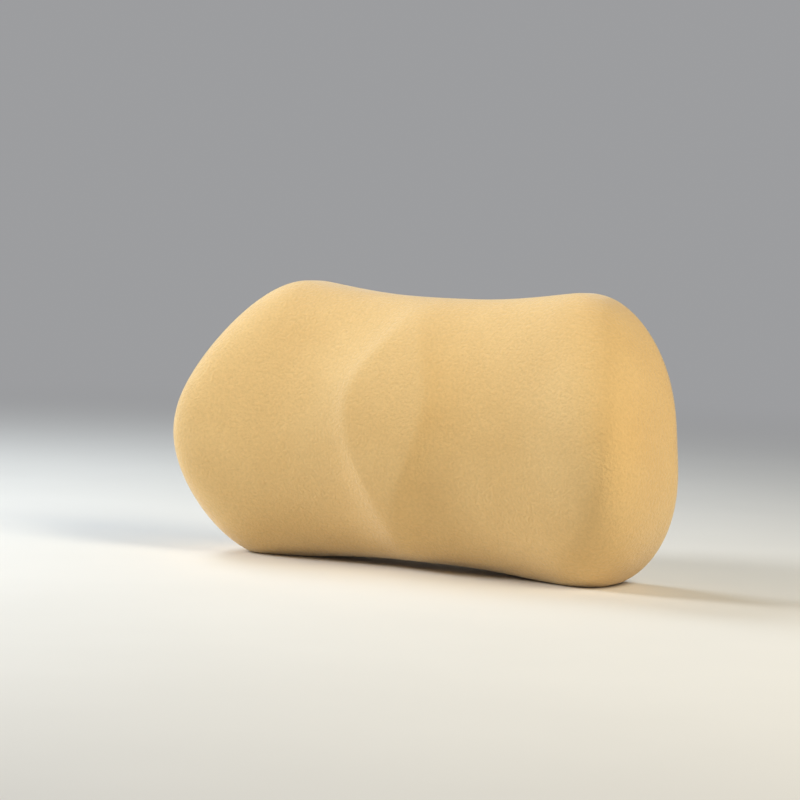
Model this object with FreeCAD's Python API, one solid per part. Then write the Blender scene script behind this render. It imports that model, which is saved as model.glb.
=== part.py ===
import FreeCAD, Part
import functools
import math
import os

# Lumbar support cushion. Millimetres, +Z up, the front (towards the sitter) is -Y, the back panel is +Y.
# It stands on its long lower edge, on the two flattened patches under its lobes.
# The form is mirrored about X = 0. Form heights are measured from the middle of the lobes.

Vector = FreeCAD.Vector

# Overall size
WIDTH = 444.0
HEIGHT = 236.0
BACK_DEPTH = 36.0            # widest section to the flat back panel
BASE_FLAT = 5.0              # foam pressed flat under each lobe

# Outline: two lobes with a waist between them
WAIST_DIP = 0.13             # share of the half height lost at the middle
WAIST_REACH = 143.0
WAIST_POWER = 2.8
END_LENGTH = 88.0            # each end closes over this length
END_POWER_HEIGHT = 1.9
END_POWER_FRONT = 4.0
END_POWER_BACK = 2.0
TOP_TAPER = 0.06             # the upper edge is this much narrower, the lower edge this much wider

# Front: belly, wings and the leaf-shaped ridge down the middle
FRONT_DEPTH = 51.0
BELLY_RISE = 19.5
BELLY_HEIGHT = -10.0
BELLY_SPREAD = 123.0
WING_RISE = 14.3
WING_START = 28.0
WING_SPAN = 133.0
RIDGE_RISE = 17.0
RIDGE_HALF_WIDTH = 35.0
RIDGE_WIDEST = 29.0          # height where the ridge is widest
RIDGE_TOP = 118.0            # heights where its two edges meet
RIDGE_BOTTOM = -125.0
RIDGE_POWER_TOP = 2.8        # how fast the edges draw together above and below the widest place
RIDGE_POWER_BOTTOM = 4.0
RIDGE_SOFTNESS = 6.0
RIDGE_FADE = 27.0
CENTRE_SOFTNESS = 4.0
FRONT_LEAN = 0.05            # the front falls back towards the top
BACK_BULGE = 60.0            # depth that the rounded back would have without its flat panel
SECTION_POWER_FRONT = 2.15
SECTION_POWER_BACK = 4.0

# Layers, from the outside in
COVER_THICKNESS = 1.6
LINER_THICKNESS = 0.6
LAYER_GAP = 0.3

# Zip: a horizontal moulded zip across the back panel
ZIP_HEIGHT = -45.0
ZIP_CHAIN_LENGTH = 320.0
SLOT_WIDTH = 12.0
TAPE_WIDTH = 13.0
TAPE_THICKNESS = 0.6
TAPE_OVERHANG = 6.0
TOOTH_PITCH = 4.0
TOOTH_WIDTH = 2.4
TOOTH_REACH = 2.4
TOOTH_THICKNESS = 2.4
CHAIN_SLOT = 1.0             # open line between the two rows of teeth
STOP_LENGTH = 4.0
STOP_PROUD = 0.6             # the stops stand this far past the teeth, to catch the slider's plates
SLIDER_LENGTH = 12.0
SLIDER_WIDTH = 10.0
SLIDER_CORNER = 2.0
SLIDER_PLATE = 1.0
SLIDER_CLEARANCE = 0.3
SLIDER_BRIDGE_LENGTH = 4.0
SLIDER_BRIDGE_THICKNESS = 0.5
FLANGE_THICKNESS = 0.8
BAIL_WIDTH = 3.0
BAIL_LENGTH = 3.2
HINGE_PIN_RADIUS = 0.6
HINGE_CLEARANCE = 0.05
TAB_LENGTH = 24.0
TAB_WIDTH = 8.0
TAB_THICKNESS = 1.2
TAB_SIDE_CLEARANCE = 0.3
TAB_HEEL = 0.8               # tab past its pin, short enough to turn clear of the plate
TAB_WINDOW = 3.0
TAB_CORNER = 3.0
TAB_GRIP_WIDTH = 3.0
TAB_GRIP_INSET = 4.0

# Thread
THREAD_WIDTH = 0.7
THREAD_DEPTH = 0.5
TOPSTITCH_WIDTH = 1.2
TOPSTITCH_INSET = 4.0
ZIP_STITCH_INSET = 2.5
BARTACK_LENGTH = 2.0
BARTACK_GAP = 1.0
LINER_SEAM_INSET = 1.0
LINER_SEAM_WIDTH = 3.0
LINER_SEAM_HEIGHT = 0.8

# Fineness of the form
STATION_COUNT = 37
STATION_END = 0.992
STATION_MIDDLE = 0.55        # spacing at the ridge, against even spacing in angle
SECTION_POINTS = 32
OUTLINE_POINTS = 96
HALVINGS = 40
FINE_TURNS = 720
BIG = 600.0                  # further than any piece reaches

HALF_WIDTH = WIDTH / 2
LOBE_HALF = (HEIGHT + BASE_FLAT) / 2
BASE_LEVEL = BASE_FLAT - LOBE_HALF

# Back stack, from the outside in
PANEL_INNER = BACK_DEPTH - COVER_THICKNESS
CHAIN_MIDDLE = PANEL_INNER - TAPE_THICKNESS / 2
CHAIN_OUTER = CHAIN_MIDDLE + TOOTH_THICKNESS / 2
CHAIN_INNER = CHAIN_MIDDLE - TOOTH_THICKNESS / 2
SLIDER_INNER = CHAIN_INNER - SLIDER_CLEARANCE - SLIDER_PLATE
SLIDER_OUTER = CHAIN_OUTER + SLIDER_CLEARANCE + SLIDER_PLATE
LINER_BACK = SLIDER_INNER - LAYER_GAP - LINER_SEAM_HEIGHT
HINGE_DEPTH = SLIDER_OUTER + TAB_THICKNESS / 2 + HINGE_PIN_RADIUS
BAIL_OUTER = HINGE_DEPTH + 2 * HINGE_PIN_RADIUS

# Layer insets from the outer skin
LINER_INSET = COVER_THICKNESS + LAYER_GAP
CORE_INSET = LINER_INSET + LINER_THICKNESS + LAYER_GAP

# Zip ends
CHAIN_END = ZIP_CHAIN_LENGTH / 2
SLOT_END = CHAIN_END + STOP_LENGTH
TEETH_ROOT = CHAIN_SLOT / 2 + TOOTH_REACH
TAPE_EDGE = CHAIN_SLOT / 2 + TOOTH_REACH / 2

# Slider, shown closed at the +X end
SLIDER_MIDDLE = CHAIN_END - SLIDER_CLEARANCE - SLIDER_LENGTH / 2
SLIDER_TRAVEL = ZIP_CHAIN_LENGTH - SLIDER_LENGTH - 2 * SLIDER_CLEARANCE
HINGE_X = SLIDER_MIDDLE + SLIDER_LENGTH / 4
TAB_ARM_WIDTH = TAB_WIDTH / 2 - BAIL_WIDTH / 2 - TAB_SIDE_CLEARANCE


def end_closure(along, half_width, power):
    share = (along - half_width + END_LENGTH) / END_LENGTH
    share = min(max(share, 0.0), 1.0)
    return (1 - share ** power) ** (1 / power)


def outline_share(along):
    return 1 - WAIST_DIP * math.exp(-(along / WAIST_REACH) ** WAIST_POWER)


OUTLINE_PEAK = max(outline_share(float(a)) * end_closure(a, HALF_WIDTH, END_POWER_HEIGHT)
                   for a in range(int(HALF_WIDTH)))


def half_height(along, inset):
    full = LOBE_HALF * outline_share(along) / OUTLINE_PEAK
    return (full - inset) * end_closure(along, HALF_WIDTH - inset, END_POWER_HEIGHT)


def ridge_half_width(z):
    tip, power = (RIDGE_TOP, RIDGE_POWER_TOP) if z > RIDGE_WIDEST else (RIDGE_BOTTOM, RIDGE_POWER_BOTTOM)
    share = (z - RIDGE_WIDEST) / (tip - RIDGE_WIDEST)
    return RIDGE_HALF_WIDTH * max(1 - share ** 2, 0.0) ** power


def front_depth(x, z, inset):
    """Depth of the front ahead of the widest section, before the edges round it off."""
    belly = BELLY_RISE * math.exp(-((z - BELLY_HEIGHT) / BELLY_SPREAD) ** 2)
    wing = WING_RISE * max((abs(x) - WING_START) / WING_SPAN, 0.0) ** 2
    across = math.hypot(x, CENTRE_SOFTNESS) - CENTRE_SOFTNESS
    outside = RIDGE_SOFTNESS * math.log1p(math.exp((across - ridge_half_width(z)) / RIDGE_SOFTNESS))
    ridge = RIDGE_RISE * math.exp(-outside / RIDGE_FADE)
    full = FRONT_DEPTH + belly + wing + ridge
    return (full - inset) * end_closure(abs(x), HALF_WIDTH - inset, END_POWER_FRONT)


def skin_point(x, turn, inset):
    """Point of the form at the station x, turned from the front (0) up over the top."""
    power = SECTION_POWER_FRONT if math.cos(turn) >= 0 else SECTION_POWER_BACK
    rise = abs(math.sin(turn)) ** (2 / power)
    run = abs(math.cos(turn)) ** (2 / power)
    z = half_height(abs(x), inset) * math.copysign(rise, math.sin(turn))
    if math.cos(turn) >= 0:
        y = -front_depth(x, z, inset) * run
    else:
        y = (BACK_BULGE - inset) * end_closure(abs(x), HALF_WIDTH - inset, END_POWER_BACK) * run
    return Vector(x * (1 - TOP_TAPER * z / LOBE_HALF), y + FRONT_LEAN * z, z)


def section_wire(x, inset):
    turns = [2 * math.pi * i / SECTION_POINTS for i in range(SECTION_POINTS)]
    curve = Part.BSplineCurve()
    curve.interpolate([skin_point(x, turn, inset) for turn in turns], PeriodicFlag=True)
    return Part.Wire(curve.toShape())


@functools.lru_cache(maxsize=None)
def form(inset):
    """The whole rounded form, this far inside the outer skin, with stations closer at the ridge and the ends."""
    wires = []
    for i in range(STATION_COUNT):
        u = STATION_END * (2 * i / (STATION_COUNT - 1) - 1)
        share = u * (STATION_MIDDLE + (1 - STATION_MIDDLE) * u * u)
        wires.append(section_wire((HALF_WIDTH - inset) * math.sin(math.pi / 2 * share), inset))
    return Part.makeLoft(wires, True)


def block(x0, x1, y0, y1, z0, z1):
    return Part.makeBox(x1 - x0, y1 - y0, z1 - z0, Vector(x0, y0, z0))


def solid_form(inset, rim):
    """The form in front of an upright plane and above its base."""
    return form(inset).common(block(-BIG, BIG, -BIG, rim, BASE_LEVEL + inset, BIG))


def shell(inset, thickness, rim):
    """The front, top, ends and base of a layer, open at the back from its rim."""
    return solid_form(inset, rim).cut(solid_form(inset + thickness, BIG))


def behind(x, z, inset, depth):
    """Whether the rounded back reaches past this depth at a point of the back panel."""
    station = abs(x) / (1 - TOP_TAPER * z / LOBE_HALF)
    height = half_height(station, inset)
    if abs(z) >= height:
        return False
    run = (1 - (abs(z) / height) ** SECTION_POWER_BACK) ** (1 / SECTION_POWER_BACK)
    reach = (BACK_BULGE - inset) * end_closure(station, HALF_WIDTH - inset, END_POWER_BACK)
    return reach * run + FRONT_LEAN * z > depth


def outline_face(inset, depth):
    """Flat face with the form's outline at this depth, found along rays from its middle."""
    points = []
    for i in range(OUTLINE_POINTS):
        angle = 2 * math.pi * i / OUTLINE_POINTS
        near, far = 0.0, 2.0
        for _ in range(HALVINGS):
            middle = (near + far) / 2
            x = middle * HALF_WIDTH * math.cos(angle)
            z = middle * LOBE_HALF * math.sin(angle)
            near, far = (middle, far) if behind(x, z, inset, depth) else (near, middle)
        points.append(Vector(near * HALF_WIDTH * math.cos(angle), depth, near * LOBE_HALF * math.sin(angle)))
    curve = Part.BSplineCurve()
    curve.interpolate(points, PeriodicFlag=True)
    return Part.Face(Part.Wire(curve.toShape()))


def flat_layer(inset, depth, thickness):
    return outline_face(inset, depth).extrude(Vector(0, thickness, 0))


def ring(inset, width, depth, thickness):
    return flat_layer(inset, depth, thickness).cut(flat_layer(inset + width, depth, thickness))


def zip_block(x0, x1, y0, y1, z0, z1):
    """A block whose heights are measured from the zip's line."""
    return block(x0, x1, y0, y1, ZIP_HEIGHT + z0, ZIP_HEIGHT + z1)


def mirrored(shape):
    """The same piece on the other side of the zip's line."""
    return shape.mirror(Vector(0, 0, ZIP_HEIGHT), Vector(0, 0, 1))


def foam_core():
    return solid_form(CORE_INSET, LINER_BACK - LINER_THICKNESS - LAYER_GAP)


def liner_front():
    return shell(LINER_INSET, LINER_THICKNESS, LINER_BACK - LINER_THICKNESS)


def liner_back():
    """Drawn at its outer side, where the form is narrower, so that it clears the cover round its whole edge."""
    return outline_face(LINER_INSET, LINER_BACK).extrude(Vector(0, -LINER_THICKNESS, 0))


def liner_seam():
    return ring(LINER_INSET + LINER_SEAM_INSET, LINER_SEAM_WIDTH, LINER_BACK, LINER_SEAM_HEIGHT)


def cover_front():
    return shell(0, COVER_THICKNESS, PANEL_INNER)


@functools.lru_cache(maxsize=None)
def zip_field():
    """The block that the zip and its threads take up, which the stitching round the panel stops short of."""
    end = SLOT_END + BARTACK_GAP + BARTACK_LENGTH + BARTACK_GAP
    side = SLOT_WIDTH / 2 + ZIP_STITCH_INSET + THREAD_WIDTH + BARTACK_GAP
    return zip_block(-end, end, -BIG, BIG, -side, side)


def perimeter_topstitch():
    stitching = ring(TOPSTITCH_INSET, TOPSTITCH_WIDTH, BACK_DEPTH - THREAD_DEPTH, THREAD_DEPTH)
    return stitching.cut(zip_field())


def zip_stitching():
    """The upper row of thread that sews the panel to its tape, sunk flush into the panel."""
    near = SLOT_WIDTH / 2 + ZIP_STITCH_INSET
    return zip_block(-SLOT_END, SLOT_END, BACK_DEPTH - THREAD_DEPTH, BACK_DEPTH, near, near + THREAD_WIDTH)


def zip_bartacks():
    """A dense bar of thread across each end of the slot, sunk flush into both panels."""
    near = SLOT_END + BARTACK_GAP
    tack = zip_block(near, near + BARTACK_LENGTH, BACK_DEPTH - THREAD_DEPTH, BACK_DEPTH,
                     -SLOT_WIDTH / 2, SLOT_WIDTH / 2)
    return Part.makeCompound([tack, tack.mirror(Vector(0, 0, 0), Vector(1, 0, 0))])


@functools.lru_cache(maxsize=None)
def back_panel():
    """The whole back panel, cut for the zip's slot and for the threads that sink into it."""
    slot = zip_block(-SLOT_END, SLOT_END, -BIG, BIG, -SLOT_WIDTH / 2, SLOT_WIDTH / 2)
    panel = flat_layer(0, PANEL_INNER, COVER_THICKNESS).cut(slot)
    for thread in (perimeter_topstitch(), zip_stitching(), mirrored(zip_stitching()), zip_bartacks()):
        panel = panel.cut(thread)
    return panel


def cover_back_upper():
    return back_panel().common(zip_block(-BIG, BIG, -BIG, BIG, 0, BIG))


def cover_back_lower():
    return back_panel().common(zip_block(-BIG, BIG, -BIG, BIG, -BIG, 0))


def zip_tape():
    """The upper tape, sewn behind the panel, with its inner edge held in the teeth."""
    end = SLOT_END + TAPE_OVERHANG
    return zip_block(-end, end, PANEL_INNER - TAPE_THICKNESS, PANEL_INNER, TAPE_EDGE, TAPE_EDGE + TAPE_WIDTH)


def zip_teeth():
    """The upper row of teeth, moulded as one comb that grips the edge of its tape from both sides."""
    bead = zip_block(-CHAIN_END, CHAIN_END, CHAIN_INNER, CHAIN_OUTER, TAPE_EDGE, TEETH_ROOT)
    teeth = []
    for i in range(int(ZIP_CHAIN_LENGTH / TOOTH_PITCH)):
        start = -CHAIN_END + (i + 0.5) * TOOTH_PITCH - TOOTH_WIDTH / 2
        teeth.append(zip_block(start, start + TOOTH_WIDTH, CHAIN_INNER, CHAIN_OUTER, CHAIN_SLOT / 2, TAPE_EDGE))
    return bead.multiFuse(teeth).removeSplitter().cut(zip_tape())


def zip_bottom_stop():
    """The clip that joins both rows at the open end of the zip's travel."""
    clip = zip_block(-SLOT_END, -CHAIN_END, CHAIN_INNER - STOP_PROUD, CHAIN_OUTER + STOP_PROUD,
                     -TEETH_ROOT, TEETH_ROOT)
    return clip.cut(zip_tape()).cut(mirrored(zip_tape()))


def zip_top_stops():
    stop = zip_block(CHAIN_END, SLOT_END, CHAIN_INNER - STOP_PROUD, CHAIN_OUTER + STOP_PROUD,
                     CHAIN_SLOT / 2, TEETH_ROOT).cut(zip_tape())
    return Part.makeCompound([stop, mirrored(stop)])


def zip_slider():
    """Two plates joined by a thin bridge in the chain's slot, with guide flanges and the bail for the tab."""
    x0 = SLIDER_MIDDLE - SLIDER_LENGTH / 2
    x1 = SLIDER_MIDDLE + SLIDER_LENGTH / 2
    half = SLIDER_WIDTH / 2
    pieces = []
    for y0, y1 in ((SLIDER_INNER, SLIDER_INNER + SLIDER_PLATE), (SLIDER_OUTER - SLIDER_PLATE, SLIDER_OUTER)):
        plate = zip_block(x0, x1, y0, y1, -half, half)
        corners = [edge for edge in plate.Edges if abs(edge.tangentAt(edge.FirstParameter).y) > 0.9]
        pieces.append(plate.makeFillet(SLIDER_CORNER, corners))
    pieces.append(zip_block(x1 - SLIDER_CORNER - SLIDER_BRIDGE_LENGTH, x1 - SLIDER_CORNER, SLIDER_INNER,
                            SLIDER_OUTER, -SLIDER_BRIDGE_THICKNESS / 2, SLIDER_BRIDGE_THICKNESS / 2))
    for z0, z1 in ((-half, FLANGE_THICKNESS - half), (half - FLANGE_THICKNESS, half)):
        pieces.append(zip_block(x0 + SLIDER_CORNER, x1 - SLIDER_CORNER, PANEL_INNER + SLIDER_CLEARANCE,
                                SLIDER_OUTER, z0, z1))
    bail = zip_block(HINGE_X - BAIL_LENGTH / 2, HINGE_X + BAIL_LENGTH / 2, SLIDER_OUTER - SLIDER_PLATE,
                     BAIL_OUTER, -BAIL_WIDTH / 2, BAIL_WIDTH / 2)
    body = pieces[0].multiFuse(pieces[1:] + [bail]).removeSplitter()
    bore = Part.makeCylinder(HINGE_PIN_RADIUS + HINGE_CLEARANCE, SLIDER_WIDTH,
                             Vector(HINGE_X, HINGE_DEPTH, ZIP_HEIGHT - half), Vector(0, 0, 1))
    return body.cut(bore)


def zip_pull_tab():
    """The tab lies along the chain. Its cross pin turns in the slider's bail."""
    y0 = HINGE_DEPTH - TAB_THICKNESS / 2
    y1 = HINGE_DEPTH + TAB_THICKNESS / 2
    window = BAIL_WIDTH / 2 + TAB_SIDE_CLEARANCE
    plate = zip_block(HINGE_X - TAB_LENGTH, HINGE_X + TAB_HEEL, y0, y1, -TAB_WIDTH / 2, TAB_WIDTH / 2)
    far_corners = [edge for edge in plate.Edges
                   if abs(edge.tangentAt(edge.FirstParameter).y) > 0.9 and edge.CenterOfMass.x < HINGE_X - TAB_HEEL]
    plate = plate.makeFillet(TAB_CORNER, far_corners)
    plate = plate.cut(zip_block(HINGE_X - TAB_WINDOW, HINGE_X + TAB_LENGTH, y0, y1, -window, window))
    grip = zip_block(HINGE_X - TAB_LENGTH + TAB_GRIP_INSET, HINGE_X - TAB_WINDOW - TAB_GRIP_INSET, y0, y1,
                     -TAB_GRIP_WIDTH / 2, TAB_GRIP_WIDTH / 2)
    pin = Part.makeCylinder(HINGE_PIN_RADIUS, TAB_WIDTH - TAB_ARM_WIDTH,
                            Vector(HINGE_X, HINGE_DEPTH, ZIP_HEIGHT - (TAB_WIDTH - TAB_ARM_WIDTH) / 2),
                            Vector(0, 0, 1))
    return plate.cut(grip).fuse(pin)


def frontmost():
    turns = [math.pi * i / FINE_TURNS - math.pi / 2 for i in range(FINE_TURNS + 1)]
    return min(skin_point(0, turn, 0).y for turn in turns)


NODES = {
    "foam_core": foam_core,
    "liner_front": liner_front,
    "liner_back": liner_back,
    "liner_seam": liner_seam,
    "cover_front": cover_front,
    "cover_back_upper": cover_back_upper,
    "cover_back_lower": cover_back_lower,
    "perimeter_topstitch": perimeter_topstitch,
    "zip_tape_upper": zip_tape,
    "zip_tape_lower": lambda: mirrored(zip_tape()),
    "zip_teeth_upper": zip_teeth,
    "zip_teeth_lower": lambda: mirrored(zip_teeth()),
    "zip_bottom_stop": zip_bottom_stop,
    "zip_top_stops": zip_top_stops,
    "zip_slider": zip_slider,
    "zip_pull_tab": zip_pull_tab,
    "zip_stitching_upper": zip_stitching,
    "zip_stitching_lower": lambda: mirrored(zip_stitching()),
    "zip_bartacks": zip_bartacks,
}


def main():
    os.makedirs("parts", exist_ok=True)
    to_origin = Vector(0, -(frontmost() + BAIL_OUTER) / 2, -BASE_LEVEL)
    print("hinge", Vector(HINGE_X, HINGE_DEPTH, ZIP_HEIGHT) + to_origin, "travel", SLIDER_TRAVEL)
    print("back plane", BACK_DEPTH + to_origin.y)
    for name, make in NODES.items():
        solids = make().Solids
        shape = solids[0] if len(solids) == 1 else Part.makeCompound(solids)
        shape.translate(to_origin)
        shape.exportStep("parts/" + name + ".step")
        print(name, len(solids), shape.isValid(), round(shape.Volume, 1))


main()
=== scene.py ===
import math

import bmesh
import bpy
import numpy as np
from mathutils import Matrix, Vector


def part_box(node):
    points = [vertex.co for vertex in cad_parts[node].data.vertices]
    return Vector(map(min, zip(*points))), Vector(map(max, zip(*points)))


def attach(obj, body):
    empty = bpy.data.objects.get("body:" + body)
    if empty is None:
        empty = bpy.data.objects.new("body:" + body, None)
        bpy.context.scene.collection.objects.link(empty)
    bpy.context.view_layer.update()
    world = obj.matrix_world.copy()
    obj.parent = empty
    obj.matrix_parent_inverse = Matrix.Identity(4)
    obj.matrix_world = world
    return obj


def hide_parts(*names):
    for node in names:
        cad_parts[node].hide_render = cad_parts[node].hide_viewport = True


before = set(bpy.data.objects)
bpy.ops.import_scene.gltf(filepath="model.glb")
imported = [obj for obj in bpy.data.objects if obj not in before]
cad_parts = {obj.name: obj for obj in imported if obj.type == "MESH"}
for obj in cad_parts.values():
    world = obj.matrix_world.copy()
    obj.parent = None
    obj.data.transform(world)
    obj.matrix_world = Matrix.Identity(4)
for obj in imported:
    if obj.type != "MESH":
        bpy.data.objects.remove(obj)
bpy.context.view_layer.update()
MM = 0.001

# ---------------------------------------------------------------- sizes of the form, mm
# Form coordinates: x along the width, y out of the back, z up, from the middle of the widest section.
HALF_WIDTH = 222.0
LOBE_HALF = 120.5
BACK_DEPTH = 36.0
BASE_LEVEL = -115.5
WAIST_DIP, WAIST_REACH, WAIST_POWER = 0.13, 143.0, 2.8
END_LENGTH = 88.0
END_POWER_HEIGHT, END_POWER_FRONT, END_POWER_BACK = 1.9, 4.0, 2.0
TOP_TAPER = 0.06
FRONT_DEPTH = 51.0
BELLY_RISE, BELLY_HEIGHT, BELLY_SPREAD = 19.5, -10.0, 123.0
WING_RISE, WING_START, WING_SPAN = 14.3, 28.0, 133.0
RIDGE_RISE, RIDGE_HALF_WIDTH, RIDGE_WIDEST = 17.0, 35.0, 29.0
RIDGE_TOP, RIDGE_BOTTOM, RIDGE_POWER_TOP, RIDGE_POWER_BOTTOM = 118.0, -125.0, 2.8, 4.0
RIDGE_SOFTNESS, RIDGE_FADE, CENTRE_SOFTNESS = 2.5, 27.0, 4.0
FRONT_LEAN = 0.05
BACK_BULGE = 60.0
SECTION_POWER_FRONT, SECTION_POWER_BACK = 2.15, 4.0
BASE_EASE = 1.5                     # rounding where the lobes press flat on the base

# Layers and sewing, mm
COVER_THICKNESS, LINER_THICKNESS = 1.6, 0.6
LINER_INSET, CORE_INSET = 1.9, 2.8
SEAM_IN, SEAM_SINK, SEAM_SPREAD = 1.1, 1.9, 3.2     # both sides of the edge seam roll in to one line
TOPSTITCH_INSET, TOPSTITCH_SINK, TOPSTITCH_SPREAD = 4.6, 0.9, 1.5
PUCKER_RISE, PUCKER_REACH = 0.45, 9.0
PANEL_CROWN, CROWN_REACH = 1.8, 38.0
ZIP_STITCH_OUT = 2.85               # from the edge of the slot to its row of thread
FOLD_RISE, FOLD_REACH = 0.35, 1.3
THREAD_RADIUS = 0.35

# The frame gives the places of the layers, the slot and the zip.
BACK_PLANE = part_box("cover_back_upper")[1].y
LINER_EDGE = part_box("liner_front")[1].y
LINER_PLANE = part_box("liner_back")[1].y
CORE_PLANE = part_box("foam_core")[1].y
SLOT_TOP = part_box("zip_stitching_upper")[0].z - 2.5 * MM
SLOT_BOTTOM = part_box("zip_stitching_lower")[1].z + 2.5 * MM
SLOT_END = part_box("zip_stitching_upper")[1].x
ZIP_LINE = (SLOT_TOP + SLOT_BOTTOM) / 2
Y_SHIFT = BACK_PLANE / MM - BACK_DEPTH
Z_SHIFT = -BASE_LEVEL


# ---------------------------------------------------------------- the form
def end_closure(along, half_width, power):
    share = np.clip((along - half_width + END_LENGTH) / END_LENGTH, 0, 1)
    return (1 - share ** power) ** (1 / power)


def outline_share(along):
    return 1 - WAIST_DIP * np.exp(-(along / WAIST_REACH) ** WAIST_POWER)


_along = np.arange(0, HALF_WIDTH)
OUTLINE_PEAK = float((outline_share(_along) * end_closure(_along, HALF_WIDTH, END_POWER_HEIGHT)).max())


def half_height(along, inset):
    full = LOBE_HALF * outline_share(along) / OUTLINE_PEAK
    return (full - inset) * end_closure(along, HALF_WIDTH - inset, END_POWER_HEIGHT)


def front_depth(x, z, inset):
    belly = BELLY_RISE * np.exp(-((z - BELLY_HEIGHT) / BELLY_SPREAD) ** 2)
    wing = WING_RISE * np.maximum((np.abs(x) - WING_START) / WING_SPAN, 0) ** 2
    above = z > RIDGE_WIDEST
    share = (z - RIDGE_WIDEST) / np.where(above, RIDGE_TOP - RIDGE_WIDEST, RIDGE_BOTTOM - RIDGE_WIDEST)
    power = np.where(above, RIDGE_POWER_TOP, RIDGE_POWER_BOTTOM)
    half = RIDGE_HALF_WIDTH * np.maximum(1 - share ** 2, 0) ** power
    across = np.hypot(x, CENTRE_SOFTNESS) - CENTRE_SOFTNESS
    outside = RIDGE_SOFTNESS * np.logaddexp(0, (across - half) / RIDGE_SOFTNESS)
    ridge = RIDGE_RISE * np.exp(-outside / RIDGE_FADE)
    return (FRONT_DEPTH + belly + wing + ridge - inset) * end_closure(np.abs(x), HALF_WIDTH - inset, END_POWER_FRONT)


def form_points(x, turn, inset):
    """Points of the form, in the frame's metres, at stations x, turned from the front up over the top."""
    front = np.cos(turn) >= 0
    power = np.where(front, SECTION_POWER_FRONT, SECTION_POWER_BACK)
    rise = np.abs(np.sin(turn)) ** (2 / power) * np.sign(np.sin(turn))
    run = np.abs(np.cos(turn)) ** (2 / power)
    z = half_height(np.abs(x), inset) * rise
    back = (BACK_BULGE - inset) * end_closure(np.abs(x), HALF_WIDTH - inset, END_POWER_BACK) * run
    y = np.where(front, -front_depth(x, z, inset) * run, back) + FRONT_LEAN * z
    up = z + Z_SHIFT - inset
    eased = np.where(up > BASE_EASE, up, np.maximum(up + BASE_EASE, 0) ** 2 / (4 * BASE_EASE))
    return np.stack([x * (1 - TOP_TAPER * z / LOBE_HALF), y + Y_SHIFT, eased + inset], -1) * MM


# ---------------------------------------------------------------- mesh helpers
def new_object(name, bm, smooth=True):
    mesh = bpy.data.meshes.new(name)
    bm.to_mesh(mesh)
    bm.free()
    for poly in mesh.polygons:
        poly.use_smooth = smooth
    obj = bpy.data.objects.new(name, mesh)
    bpy.context.scene.collection.objects.link(obj)
    return obj


def apply_modifiers(obj):
    graph = bpy.context.evaluated_depsgraph_get()
    mesh = bpy.data.meshes.new_from_object(obj.evaluated_get(graph))
    obj.modifiers.clear()
    obj.data = mesh
    return obj


def thicken(obj, thickness):
    """Cloth of this thickness, grown inwards from the surface that it was drawn on."""
    solid = obj.modifiers.new("thickness", "SOLIDIFY")
    solid.thickness = thickness * MM
    solid.offset = -1
    return apply_modifiers(obj)


def piece(obj, body, slot, material, *nodes):
    obj.data.materials.clear()
    obj.data.materials.append(material)
    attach(obj, body)
    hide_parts(*nodes)
    return obj


def closed_form(inset, stations, turns):
    """The whole rounded form as a closed quad mesh with a small fan at each end."""
    u = np.linspace(-1, 1, stations + 2)[1:-1]
    x = (HALF_WIDTH - inset) * np.sin(math.pi / 2 * u * (0.6 + 0.4 * u * u))
    turn = np.arange(turns) * 2 * math.pi / turns
    grid = form_points(x[:, None] + 0 * turn, turn[None, :] + 0 * x[:, None], inset)
    bm = bmesh.new()
    rows = [[bm.verts.new(p) for p in row] for row in grid]
    for a, b in zip(rows, rows[1:]):
        for j in range(turns):
            k = (j + 1) % turns
            bm.faces.new((a[j], a[k], b[k], b[j]))
    for row, order in ((rows[0], -1), (rows[-1], 1)):
        centre = bm.verts.new(sum((v.co for v in row), Vector()) / turns)
        for j in range(turns):
            bm.faces.new((*(row[j], row[(j + 1) % turns])[::order], centre))
    bmesh.ops.recalc_face_normals(bm, faces=bm.faces)
    return bm


def cut_behind(bm, plane):
    """Removes what lies behind the plane y, and gives the open edge as a loop of vertices."""
    geom = bm.verts[:] + bm.edges[:] + bm.faces[:]
    bmesh.ops.bisect_plane(bm, geom=geom, plane_co=(0, plane, 0), plane_no=(0, 1, 0), clear_outer=True, dist=1e-6)
    rim = {e for e in bm.edges if e.is_boundary}
    loop = [next(iter(rim)).verts[0]]
    edge = next(e for e in loop[0].link_edges if e in rim)
    while True:
        nxt = edge.other_vert(loop[-1])
        if nxt is loop[0]:
            break
        loop.append(nxt)
        edge = next(e for e in nxt.link_edges if e in rim and e is not edge)
    area = sum(a.co.x * b.co.z - b.co.x * a.co.z for a, b in zip(loop, loop[1:] + loop[:1]))
    return loop if area > 0 else loop[::-1]


def even_loop(points, count):
    """The closed line as this many points an equal way apart."""
    closed = np.vstack([points, points[:1]])
    way = np.r_[0, np.cumsum(np.linalg.norm(np.diff(closed, axis=0), axis=1))]
    at = np.arange(count) * way[-1] / count
    return np.stack([np.interp(at, way, closed[:, i]) for i in range(closed.shape[1])], -1)


def inward_normals(points):
    step = np.roll(points, -1, 0) - np.roll(points, 1, 0)
    normal = np.stack([-step[:, 1], step[:, 0]], -1)
    return normal / np.linalg.norm(normal, axis=1, keepdims=True)


def inwards(points, inset):
    """The closed line in x and z, moved in by the inset."""
    return points + inset * MM * inward_normals(points)


def fill_loop(bm, loop, scales):
    """Rings and a middle fan that close a loop of vertices with a flat face."""
    centre = sum((v.co for v in loop), Vector()) / len(loop)
    last = list(loop)
    for scale in scales:
        ring = [bm.verts.new(centre + (v.co - centre) * scale) for v in loop]
        for j in range(len(loop)):
            k = (j + 1) % len(loop)
            bm.faces.new((last[j], last[k], ring[k], ring[j]))
        last = ring
    middle = bm.verts.new(centre)
    for j in range(len(loop)):
        bm.faces.new((last[j], last[(j + 1) % len(loop)], middle))


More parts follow.
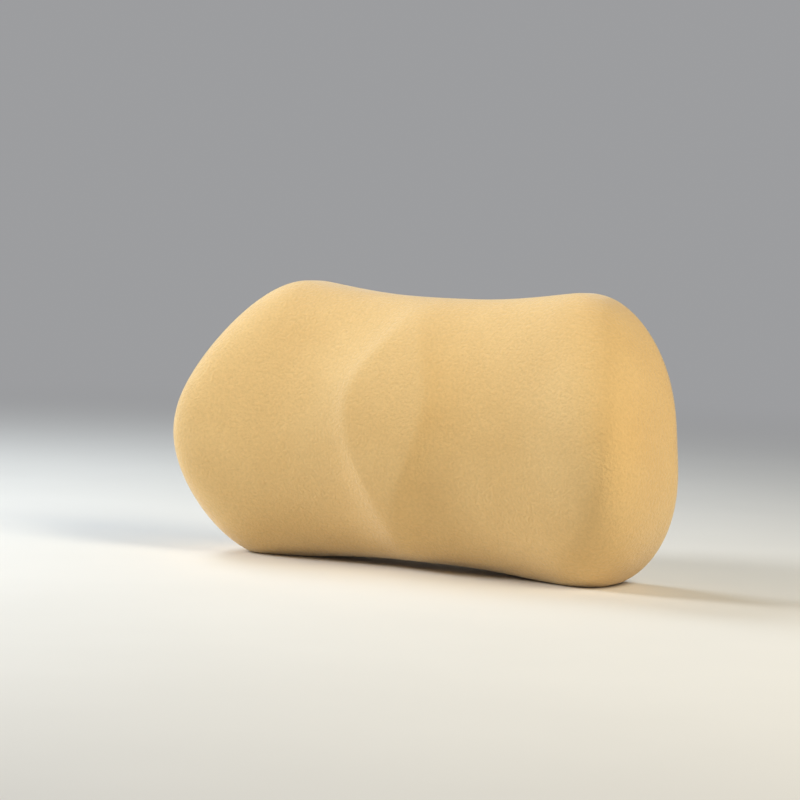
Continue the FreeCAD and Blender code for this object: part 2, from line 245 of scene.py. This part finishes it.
def flat_cut(obj):
    """The corners of a back piece's cut, and its area: one side of the cloth, seen square on."""
    points = [v.co for v in obj.data.vertices]
    low, high = (Vector(f(p[i] for p in points) for i in range(3)) for f in (min, max))
    area = sum(p.area * abs(p.normal.y) for p in obj.data.polygons) / 2
    return low, high, area


# ---------------------------------------------------------------- the soft pieces
DENSE = ((250, 200))
COARSE = ((150, 120))
PANEL_POINTS = 720
RING_SCALES = [1 - s for s in np.r_[np.linspace(0.004, 0.1, 24), np.linspace(0.12, 0.96, 40)]]


def front_skin(material):
    bm = closed_form(0, *DENSE)
    loop = cut_behind(bm, BACK_PLANE)
    outline = np.array([(v.co.x, v.co.z) for v in loop])
    bm.normal_update()
    for v in bm.verts:
        short = (BACK_PLANE - v.co.y) / MM
        if short < 4 * SEAM_SPREAD:
            share = MM * math.exp(-(short / SEAM_SPREAD) ** 2)
            outward = Vector((v.normal.x, 0, v.normal.z)).normalized()
            v.co -= outward * SEAM_IN * share + Vector((0, SEAM_SINK * share, 0))
    obj = thicken(new_object("cover_front_skin", bm), COVER_THICKNESS)
    return piece(obj, "cushion", "cover_fabric", material, "cover_front"), outline


def panel_height(x, z, edge):
    """Height of the back panel's cloth over its plane, mm, edge being the way in from the outline."""
    slot = np.hypot(np.maximum(np.abs(x) - SLOT_END, 0), np.maximum(np.abs(z - ZIP_LINE) - (SLOT_TOP - ZIP_LINE), 0)) / MM
    crown = PANEL_CROWN * (1 - np.exp(-edge / CROWN_REACH)) * (1 - np.exp(-(slot / CROWN_REACH) ** 2))
    roll = -SEAM_SINK * np.exp(-(edge / SEAM_SPREAD) ** 2)
    sink = -TOPSTITCH_SINK * np.exp(-((edge - TOPSTITCH_INSET) / TOPSTITCH_SPREAD) ** 2)
    round_angle = np.arctan2(z - Z_SHIFT * MM, x)
    wave = np.sin(97 * round_angle) + 0.7 * np.sin(61 * round_angle + 1.3) + 0.6 * np.sin(143 * round_angle + 0.4)
    pucker = PUCKER_RISE / 2 * wave * np.exp(-((edge - TOPSTITCH_INSET) / PUCKER_REACH) ** 2) * np.clip(edge / 4, 0, 1)
    fold = FOLD_RISE * np.exp(-(slot / FOLD_REACH) ** 2)
    row = -TOPSTITCH_SINK * 0.6 * np.exp(-((slot - ZIP_STITCH_OUT) / 1.1) ** 2) * (np.abs(x) < SLOT_END)
    return crown + roll + sink + pucker + fold + row


def back_panel(name, outline, sign, material, node):
    """One half of the back, above (1) or below (-1) the zip's line, cut for the slot."""
    rim = even_loop(outline, PANEL_POINTS)
    bm = bmesh.new()
    loop = [bm.verts.new((x, BACK_PLANE, z)) for x, z in rim]
    fill_loop(bm, loop, RING_SCALES)
    side = SLOT_TOP if sign > 0 else SLOT_BOTTOM

    def slice_at(point, normal, clear):
        geom = bm.verts[:] + bm.edges[:] + bm.faces[:]
        bmesh.ops.bisect_plane(bm, geom=geom, plane_co=point, plane_no=normal, clear_outer=clear, dist=1e-6)

    slice_at((0, 0, ZIP_LINE), (0, 0, -sign), True)
    slice_at((0, 0, side), (0, 0, 1), False)
    slice_at((SLOT_END, 0, 0), (1, 0, 0), False)
    slice_at((-SLOT_END, 0, 0), (1, 0, 0), False)
    inside = [f for f in bm.faces if abs(f.calc_center_median().x) < SLOT_END
              and abs(f.calc_center_median().z - ZIP_LINE) < abs(side - ZIP_LINE)]
    bmesh.ops.delete(bm, geom=inside, context="FACES")
    co = np.array([v.co for v in bm.verts])
    away = [np.linalg.norm(part[:, None, [0, 2]] - rim[None], axis=2) for part in np.array_split(co, 60)]
    edge = np.concatenate([a.min(1) for a in away]) / MM
    inward = inward_normals(rim)[np.concatenate([a.argmin(1) for a in away])]
    shift = SEAM_IN * np.exp(-(edge / SEAM_SPREAD) ** 2)[:, None] * inward
    height = panel_height(co[:, 0], co[:, 2], edge)
    for v, (dx, dz), up in zip(bm.verts, shift, height):
        v.co += Vector((dx, up, dz)) * MM
    bmesh.ops.recalc_face_normals(bm, faces=bm.faces)
    if sum(f.normal.y for f in bm.faces) < 0:
        bmesh.ops.reverse_faces(bm, faces=bm.faces)
    obj = thicken(new_object(name, bm), COVER_THICKNESS)
    return piece(obj, "cushion", "cover_fabric", material, node)


def liner(material):
    bm = closed_form(LINER_INSET, *COARSE)
    loop = cut_behind(bm, LINER_EDGE)
    outline = np.array([(v.co.x, v.co.z) for v in loop])
    front = thicken(new_object("liner_front_sack", bm), LINER_THICKNESS)
    piece(front, "cushion", "liner_fabric", material, "liner_front")
    bm = bmesh.new()
    rim = inwards(even_loop(outline, 240), 0.4)
    fill_loop(bm, [bm.verts.new((x, LINER_PLANE, z)) for x, z in rim], [0.98, 0.9, 0.75, 0.5, 0.25])
    bmesh.ops.recalc_face_normals(bm, faces=bm.faces)
    if sum(f.normal.y for f in bm.faces) < 0:
        bmesh.ops.reverse_faces(bm, faces=bm.faces)
    back = thicken(new_object("liner_back_sheet", bm), LINER_THICKNESS)
    piece(back, "cushion", "liner_fabric", material, "liner_back")
    return front, back, outline


def foam_core(material):
    bm = closed_form(CORE_INSET, *COARSE)
    loop = cut_behind(bm, CORE_PLANE)
    fill_loop(bm, loop, [0.985, 0.95, 0.85, 0.7, 0.5, 0.25])
    bmesh.ops.recalc_face_normals(bm, faces=bm.faces)
    obj = new_object("foam_core_block", bm)
    return piece(obj, "cushion", "memory_foam", material, "foam_core")


# ---------------------------------------------------------------- thread
def stitches(name, starts, ends, radius, material, node, lift=0.0, around=6, along=5):
    """One mesh of short rounded stitches, each from its start to its end, arched out of the cloth by its lift."""
    bm = bmesh.new()
    out = Vector((0, 1, 0))
    for start, end in zip(starts, ends):
        start, end = Vector(start), Vector(end)
        way = (end - start).normalized()
        side = way.cross(out)
        rings = []
        for i in range(along + 1):
            t = i / along
            thick = radius * MM * math.sqrt(max(1 - (2 * t - 1) ** 4, 0.04))
            middle = start.lerp(end, t) + out * (lift * MM * math.sin(math.pi * t))
            rings.append([bm.verts.new(middle + (side * math.cos(a) + out * math.sin(a)) * thick)
                          for a in (2 * math.pi * k / around for k in range(around))])
        for a, b in zip(rings, rings[1:]):
            for k in range(around):
                bm.faces.new((a[k], a[(k + 1) % around], b[(k + 1) % around], b[k]))
        bm.faces.new(rings[0][::-1])
        bm.faces.new(rings[-1])
    bmesh.ops.recalc_face_normals(bm, faces=bm.faces)
    return piece(new_object(name, bm), "cushion", "thread", material, node)


def panel_point(x, z, edge, above):
    return (x, BACK_PLANE + (panel_height(np.array(x), np.array(z), np.array(edge)) + above) * MM, z)


def edge_stitches(outline, material):
    """The row of topstitching round the back panel."""
    count, fill = 330, 0.78
    line = inwards(even_loop(outline, 4 * PANEL_POINTS), TOPSTITCH_INSET)
    fine = even_loop(line, 20 * count)
    starts = [panel_point(*fine[20 * i], TOPSTITCH_INSET, 0.05) for i in range(count)]
    ends = [panel_point(*fine[20 * i + int(20 * fill)], TOPSTITCH_INSET, 0.05) for i in range(count)]
    stitches("edge_topstitches", starts, ends, THREAD_RADIUS + 0.1, material, "perimeter_topstitch", 0.35)


def zip_stitches(name, z, material, node):
    count, pitch = 108, 3.0
    x = [(-SLOT_END / MM + 2 + pitch * i) * MM for i in range(count)]
    starts = [panel_point(a, z, 30.0, 0.1) for a in x]
    ends = [panel_point(a + 2.3 * MM, z, 30.0, 0.1) for a in x]
    stitches(name, starts, ends, THREAD_RADIUS, material, node, 0.35)


def bartacks(material):
    """Dense bars of thread across the ends of the slot."""
    (x0, _, z0), (x1, _, z1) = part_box("zip_bartacks")
    starts, ends = [], []
    rows = 17
    for sign in (-1, 1):
        for i in range(rows):
            z = z0 + 0.4 * MM + (z1 - z0 - 0.8 * MM) * i / (rows - 1)
            slant = 0.25 * MM * (-1) ** i
            starts.append((sign * (x1 - 2.2 * MM), BACK_PLANE + 0.2 * MM, z - slant))
            ends.append((sign * x1, BACK_PLANE + 0.2 * MM, z + slant))
    stitches("zip_end_bartacks", starts, ends, 0.36, material, "zip_bartacks", 0.25)


def liner_overlock(outline, material):
    """Cross stitches that close the liner round its back sheet."""
    count = 200
    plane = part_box("liner_seam")
    height = (plane[0].y + plane[1].y) / 2
    outer, inner = (inwards(even_loop(outline, 4 * count), inset) for inset in (1.4, 3.8))
    outer, inner = outer[::4], np.roll(inner, -2, 0)[::4]
    starts = [(x, height - 0.1 * MM, z) for x, z in outer]
    ends = [(x, height - 0.1 * MM, z) for x, z in inner]
    stitches("liner_overlock_seam", starts, ends, 0.3, material, "liner_seam", 0.1)


# ---------------------------------------------------------------- the zip
def eased(name, node, width, body, slot, material, segments=3):
    """The CAD piece with its sharp edges rounded over."""
    bm = bmesh.new()
    bm.from_mesh(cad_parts[node].data)
    bmesh.ops.remove_doubles(bm, verts=bm.verts, dist=2e-6)
    bmesh.ops.dissolve_limit(bm, angle_limit=math.radians(2), verts=bm.verts, edges=bm.edges)
    obj = new_object(name, bm)
    bevel = obj.modifiers.new("edges", "BEVEL")
    bevel.width = width * MM
    bevel.segments = segments
    bevel.limit_method = "ANGLE"
    bevel.angle_limit = math.radians(35)
    bevel.use_clamp_overlap = True
    apply_modifiers(obj)
    return piece(obj, body, slot, material, node)


def tape(name, node, material):
    """A woven tape with rounded selvedges, as one long strip."""
    low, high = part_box(node)
    half, middle = (high.y - low.y) / 2, (high.y + low.y) / 2
    profile = [(middle + half * math.cos(a), (low.z + half if math.sin(a) < 0 else high.z - half)
                + half * math.sin(a)) for a in (2 * math.pi * (k + 0.5) / 16 for k in range(16))]
    bm = bmesh.new()
    count = 120
    rings = [[bm.verts.new((low.x + (high.x - low.x) * i / count, y, z)) for y, z in profile] for i in range(count + 1)]
    for a, b in zip(rings, rings[1:]):
        for k in range(16):
            bm.faces.new((a[k], a[(k + 1) % 16], b[(k + 1) % 16], b[k]))
    bm.faces.new(rings[0][::-1])
    bm.faces.new(rings[-1])
    bmesh.ops.recalc_face_normals(bm, faces=bm.faces)
    return piece(new_object(name, bm), "cushion", "zip_tape", material, node)


# ---------------------------------------------------------------- materials
def node_material(name):
    mat = bpy.data.materials.new(name)
    mat.use_nodes = True
    nodes = mat.node_tree.nodes
    coords = nodes.new("ShaderNodeTexCoord")
    return mat, mat.node_tree, nodes["Principled BSDF"], coords.outputs["Object"]


def noise(tree, vector, scale, detail=3.0, roughness=0.55):
    node = tree.nodes.new("ShaderNodeTexNoise")
    node.inputs["Scale"].default_value = scale
    node.inputs["Detail"].default_value = detail
    node.inputs["Roughness"].default_value = roughness
    tree.links.new(vector, node.inputs["Vector"])
    return node.outputs["Fac"]


def wave(tree, vector, bands, direction, distortion=0.0):
    """Bands across the direction, this many a metre."""
    node = tree.nodes.new("ShaderNodeTexWave")
    node.bands_direction = direction
    node.inputs["Scale"].default_value = bands * math.pi / 10
    node.inputs["Distortion"].default_value = distortion
    tree.links.new(vector, node.inputs["Vector"])
    return node.outputs["Fac"]


def ramp(tree, value, stops):
    node = tree.nodes.new("ShaderNodeValToRGB")
    while len(node.color_ramp.elements) < len(stops):
        node.color_ramp.elements.new(0.5)
    for element, (place, colour) in zip(node.color_ramp.elements, stops):
        element.position = place
        element.color = (*colour, 1)
    tree.links.new(value, node.inputs["Fac"])
    return node.outputs["Color"]


def grey(value):
    return (value,) * 3


def srgb(r, g, b):
    return tuple(((c / 255 + 0.055) / 1.055) ** 2.4 for c in (r, g, b))


def mixed(tree, blend, factor, a, b):
    node = tree.nodes.new("ShaderNodeMix")
    node.data_type = "RGBA"
    node.blend_type = blend
    node.inputs["Factor"].default_value = factor
    tree.links.new(a, node.inputs["A"])
    tree.links.new(b, node.inputs["B"])
    return node.outputs["Result"]


def bump(tree, height, strength, distance, normal=None):
    node = tree.nodes.new("ShaderNodeBump")
    node.inputs["Strength"].default_value = strength
    node.inputs["Distance"].default_value = distance
    tree.links.new(height, node.inputs["Height"])
    if normal is not None:
        tree.links.new(normal, node.inputs["Normal"])
    return node.outputs["Normal"]


def cover_material():
    """Brushed stretch velour: broad soft tone, a fine pebbled nap and a pale sheen where it turns away."""
    mat, tree, shader, where = node_material("brushed_stretch_cover")
    broad = noise(tree, where, 11, 2)
    pebble = noise(tree, where, 430, 3, 0.6)
    hair = noise(tree, where, 1900, 2)
    tone = ramp(tree, broad, [(0.3, srgb(228, 189, 126)), (0.7, srgb(235, 198, 136))])
    fleck = ramp(tree, pebble, [(0.32, grey(0.86)), (0.68, grey(1.0))])
    tree.links.new(mixed(tree, "MULTIPLY", 0.75, tone, fleck), shader.inputs["Base Color"])
    tree.links.new(ramp(tree, hair, [(0.2, grey(0.82)), (0.8, grey(0.96))]), shader.inputs["Roughness"])
    normal = bump(tree, pebble, 0.6, 0.002)
    tree.links.new(bump(tree, hair, 0.25, 0.0002, normal), shader.inputs["Normal"])
    shader.inputs["Specular IOR Level"].default_value = 0.2
    shader.inputs["Sheen Weight"].default_value = 0.5
    shader.inputs["Sheen Roughness"].default_value = 0.4
    shader.inputs["Sheen Tint"].default_value = (1.0, 0.96, 0.88, 1)
    return mat


def foam_material():
    """Memory foam: a pale moulded skin with fine open cells."""
    mat, tree, shader, where = node_material("memory_foam_skin")
    cells = tree.nodes.new("ShaderNodeTexVoronoi")
    cells.inputs["Scale"].default_value = 900
    tree.links.new(where, cells.inputs["Vector"])
    tone = ramp(tree, noise(tree, where, 25, 2), [(0.3, srgb(246, 236, 203)), (0.7, srgb(250, 242, 215))])
    pore = ramp(tree, cells.outputs["Distance"], [(0.1, grey(0.78)), (0.35, grey(1.0))])
    tree.links.new(mixed(tree, "MULTIPLY", 0.6, tone, pore), shader.inputs["Base Color"])
    tree.links.new(bump(tree, cells.outputs["Distance"], 0.5, 0.0005), shader.inputs["Normal"])
    shader.inputs["Roughness"].default_value = 0.9
    return mat


def woven_material(name, dark, light, threads, roughness=0.85, sheen=0.2):
    """Cloth of crossing threads, at this many threads a metre."""
    mat, tree, shader, where = node_material(name)
    warp = wave(tree, where, threads, "X", 0.6)
    weft = wave(tree, where, threads, "Z", 0.6)
    cross = mixed(tree, "MULTIPLY", 1.0, ramp(tree, warp, [(0.1, grey(0.55)), (0.6, grey(1.0))]),
                  ramp(tree, weft, [(0.1, grey(0.55)), (0.6, grey(1.0))]))
    tone = ramp(tree, noise(tree, where, 60), [(0.3, dark), (0.7, light)])
    tree.links.new(mixed(tree, "MULTIPLY", 0.7, tone, cross), shader.inputs["Base Color"])
    tree.links.new(bump(tree, cross, 0.6, 0.0003), shader.inputs["Normal"])
    shader.inputs["Roughness"].default_value = roughness
    shader.inputs["Sheen Weight"].default_value = sheen
    return mat


def thread_material():
    """Spun thread with a twist of fine diagonal plies."""
    mat, tree, shader, where = node_material("spun_thread")
    plies = wave(tree, where, 1800, "DIAGONAL", 1.0)
    tone = ramp(tree, plies, [(0.2, srgb(222, 190, 132)), (0.7, srgb(250, 226, 176))])
    tree.links.new(tone, shader.inputs["Base Color"])
    tree.links.new(bump(tree, plies, 0.6, 0.0002), shader.inputs["Normal"])
    shader.inputs["Roughness"].default_value = 0.6
    shader.inputs["Sheen Weight"].default_value = 0.2
    return mat


def plastic_material():
    """Moulded teeth: tinted acetal with a faint mould texture."""
    mat, tree, shader, where = node_material("moulded_acetal")
    tone = ramp(tree, noise(tree, where, 180), [(0.3, srgb(208, 176, 118)), (0.7, srgb(220, 190, 134))])
    tree.links.new(tone, shader.inputs["Base Color"])
    grain = noise(tree, where, 2600, 2)
    tree.links.new(ramp(tree, grain, [(0.3, grey(0.34)), (0.7, grey(0.46))]), shader.inputs["Roughness"])
    tree.links.new(bump(tree, grain, 0.15, 0.0001), shader.inputs["Normal"])
    return mat


def metal_material():
    """Satin nickel plate with fine handling marks."""
    mat, tree, shader, where = node_material("satin_nickel")
    tone = ramp(tree, noise(tree, where, 220, 4), [(0.3, grey(0.52)), (0.7, grey(0.66))])
    tree.links.new(tone, shader.inputs["Base Color"])
    marks = noise(tree, where, 1500, 5, 0.7)
    tree.links.new(ramp(tree, marks, [(0.35, grey(0.24)), (0.65, grey(0.42))]), shader.inputs["Roughness"])
    tree.links.new(bump(tree, marks, 0.12, 0.00008), shader.inputs["Normal"])
    shader.inputs["Metallic"].default_value = 1.0
    return mat


# ---------------------------------------------------------------- the stage, the light and the camera
def area_light(name, azimuth, elevation, centre, size, power, colour, distance=2.0):
    """A soft box that looks at the cushion, placed by its direction from the front and its height angle."""
    azimuth, elevation = math.radians(azimuth), math.radians(elevation)
    away = Vector((math.sin(azimuth) * math.cos(elevation), -math.cos(azimuth) * math.cos(elevation),
                   math.sin(elevation)))
    data = bpy.data.lights.new(name, "AREA")
    data.size = size
    data.energy = power
    data.color = colour
    lamp = bpy.data.objects.new(name, data)
    lamp.location = Vector(centre) + away * distance
    lamp.rotation_euler = away.to_track_quat("Z", "Y").to_euler()
    bpy.context.scene.collection.objects.link(lamp)


BACKDROP = (0.335, 0.338, 0.348)
DIM_CEILING = (0.07, 0.07, 0.075)


def stage(centre):
    """A pale floor that fades into the studio's grey, so that no edge shows."""
    bm = bmesh.new()
    bmesh.ops.create_circle(bm, cap_ends=True, segments=96, radius=20)
    floor = new_object("floor", bm, smooth=False)
    mat, tree, shader, where = node_material("pale_floor")
    tone = ramp(tree, noise(tree, where, 3), [(0.3, srgb(228, 225, 219)), (0.7, srgb(232, 229, 223))])
    tree.links.new(tone, shader.inputs["Base Color"])
    shader.inputs["Roughness"].default_value = 0.7
    reach = tree.nodes.new("ShaderNodeVectorMath")
    reach.operation = "LENGTH"
    tree.links.new(where, reach.inputs[0])
    fade = tree.nodes.new("ShaderNodeMapRange")
    fade.interpolation_type = "SMOOTHSTEP"
    fade.inputs["From Min"].default_value = 0.25
    fade.inputs["From Max"].default_value = 2.6
    tree.links.new(reach.outputs["Value"], fade.inputs["Value"])
    glow = tree.nodes.new("ShaderNodeEmission")
    glow.inputs["Color"].default_value = (*BACKDROP, 1)
    mix = tree.nodes.new("ShaderNodeMixShader")
    tree.links.new(fade.outputs["Result"], mix.inputs["Fac"])
    tree.links.new(shader.outputs["BSDF"], mix.inputs[1])
    tree.links.new(glow.outputs["Emission"], mix.inputs[2])
    tree.links.new(mix.outputs["Shader"], tree.nodes["Material Output"].inputs["Surface"])
    floor.data.materials.append(mat)
    world = bpy.data.worlds.new("studio")
    world.use_nodes = True
    sky = world.node_tree
    parts = sky.nodes.new("ShaderNodeSeparateXYZ")
    sky.links.new(sky.nodes.new("ShaderNodeTexCoord").outputs["Generated"], parts.inputs["Vector"])
    rise = sky.nodes.new("ShaderNodeMath")
    rise.operation = "ABSOLUTE"
    sky.links.new(parts.outputs["Z"], rise.inputs[0])
    glow = ramp(sky, rise.outputs["Value"], [(0.16, BACKDROP), (0.42, DIM_CEILING)])
    sky.links.new(glow, sky.nodes["Background"].inputs["Color"])
    bpy.context.scene.world = world
    area_light("left_box", -60, 28, centre, 0.5, 30, (0.92, 0.96, 1.0))
    area_light("left_rim", -105, 45, centre, 0.8, 19, (0.76, 0.88, 1.0))
    area_light("right_box", 76, 38, centre, 0.8, 29, (1.0, 0.92, 0.74))


def camera(centre):
    azimuth, elevation, roll = math.radians(30.4), math.radians(4.1), math.radians(2.0)
    distance, scale = 2.353, 1190.0
    towards = Vector((math.sin(azimuth) * math.cos(elevation), -math.cos(azimuth) * math.cos(elevation),
                      math.sin(elevation)))
    right = Vector((math.cos(azimuth), math.sin(azimuth), 0))
    up = towards.cross(right)
    data = bpy.data.cameras.new("camera")
    data.sensor_width = 36
    data.lens = scale * distance / 800 * 36
    cam = bpy.data.objects.new("camera", data)
    bpy.context.scene.collection.objects.link(cam)
    right, up = right * math.cos(roll) + up * math.sin(roll), up * math.cos(roll) - right * math.sin(roll)
    data.shift_x = -33.6 / 800
    data.shift_y = 30.0 / 800
    place = Vector(centre) + towards * distance
    cam.matrix_world = Matrix([(right[i], up[i], towards[i], place[i]) for i in range(3)] + [(0, 0, 0, 1)])
    bpy.context.scene.camera = cam


# ---------------------------------------------------------------- the cushion
bpy.context.scene.view_settings.view_transform = "Standard"
cover = cover_material()
thread = thread_material()
knit = woven_material("knitted_liner", srgb(226, 224, 217), srgb(238, 236, 230), 1400)
tape_cloth = woven_material("woven_zip_tape", srgb(198, 162, 102), srgb(214, 180, 120), 1800)
acetal = plastic_material()
nickel = metal_material()

core = foam_core(foam_material())
sack, sheet, liner_outline = liner(knit)
liner_overlock(liner_outline, thread)
skin, outline = front_skin(cover)
upper = back_panel("cover_back_upper_panel", outline, 1, cover, "cover_back_upper")
lower = back_panel("cover_back_lower_panel", outline, -1, cover, "cover_back_lower")

# The front pieces are cut a little small, with rounded corners, and stretch over the form; the back ones lie flat.
for flat_piece, below in ((sheet, core), (upper, sheet), (lower, sheet)):
    low, high, area = flat_cut(flat_piece)

edge_stitches(outline, thread)
zip_stitches("zip_topstitches_upper", SLOT_TOP + ZIP_STITCH_OUT * MM, thread, "zip_stitching_upper")
zip_stitches("zip_topstitches_lower", SLOT_BOTTOM - ZIP_STITCH_OUT * MM, thread, "zip_stitching_lower")
bartacks(thread)
tape("zip_tape_upper_woven", "zip_tape_upper", tape_cloth)
tape("zip_tape_lower_woven", "zip_tape_lower", tape_cloth)
eased("zip_teeth_upper_moulded", "zip_teeth_upper", 0.35, "cushion", "zip_plastic", acetal, 2)
eased("zip_teeth_lower_moulded", "zip_teeth_lower", 0.35, "cushion", "zip_plastic", acetal, 2)
eased("zip_bottom_stop_moulded", "zip_bottom_stop", 0.4, "cushion", "zip_plastic", acetal)
eased("zip_top_stops_moulded", "zip_top_stops", 0.4, "cushion", "zip_plastic", acetal)
eased("zip_slider_cast", "zip_slider", 0.22, "slider", "zip_metal", nickel)
eased("zip_pull_tab_cast", "zip_pull_tab", 0.25, "pull_tab", "zip_metal", nickel)

CENTRE = (0, Y_SHIFT * MM, Z_SHIFT * MM)
stage(CENTRE)
camera(CENTRE)
